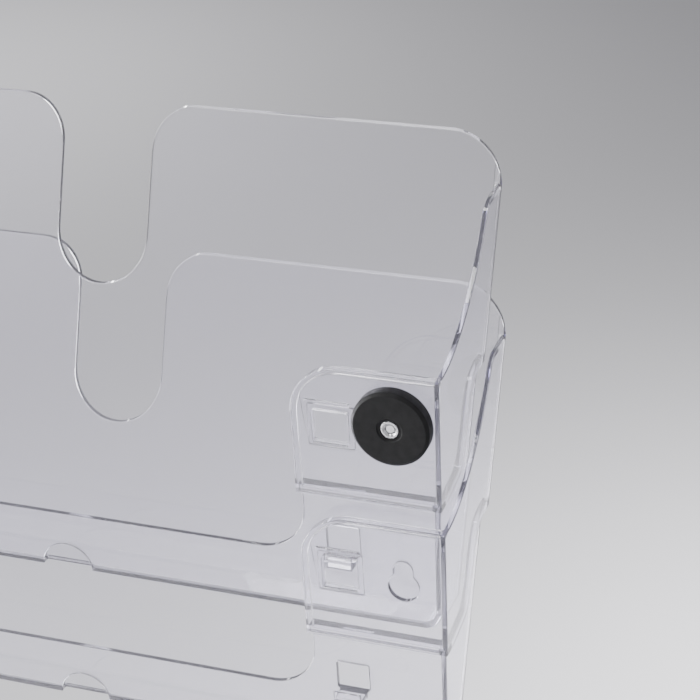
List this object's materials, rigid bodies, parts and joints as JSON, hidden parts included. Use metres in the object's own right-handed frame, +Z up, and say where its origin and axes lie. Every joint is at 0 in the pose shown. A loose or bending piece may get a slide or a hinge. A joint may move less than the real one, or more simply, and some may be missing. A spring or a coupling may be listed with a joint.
{
  "type": "brochure rack",
  "caption": "Clear tiered wall rack for landscape brochures: nested leaning pockets with a thumb notch, hooked together and held to a steel wall by rubber-coated magnets.",
  "frame": {"origin": "on the wall plane, midway between the two magnets' rubber faces", "axes": "+X across the rack, +Y towards the wall, +Z up; the brochures face -Y"},
  "size_m": [0.3346, 0.0955, 0.239],
  "materials": {
    "clear_plastic": "clear moulded polystyrene, polished",
    "black_rubber": "matt black rubber, fine moulded grain",
    "zinc_steel": "zinc plated steel",
    "bright_steel": "bright turned and plated steel",
    "nickel": "nickel plated neodymium magnet"
  },
  "bodies": {
    "upper_tier": {"upper_pocket": "clear_plastic", "left_rubber_jacket": "black_rubber", "right_rubber_jacket": "black_rubber", "left_steel_plate": "zinc_steel", "right_steel_plate": "zinc_steel", "left_threaded_bush": "bright_steel", "right_threaded_bush": "bright_steel", "left_flat_washer": "zinc_steel", "right_flat_washer": "zinc_steel", "left_pan_head_screw": "bright_steel", "right_pan_head_screw": "bright_steel", "left_magnet_disc_1": "nickel", "left_magnet_disc_2": "nickel", "left_magnet_disc_3": "nickel", "left_magnet_disc_4": "nickel", "right_magnet_disc_1": "nickel", "right_magnet_disc_2": "nickel", "right_magnet_disc_3": "nickel", "right_magnet_disc_4": "nickel"},
    "lower_tier": {"lower_pocket": "clear_plastic"}
  },
  "joints": [
    {"name": "lower_tier_lift", "type": "slide", "parent": "upper_tier", "child": "lower_tier", "axis": [0, 0, 1], "range_m": [0, 0.004]}
  ]
}
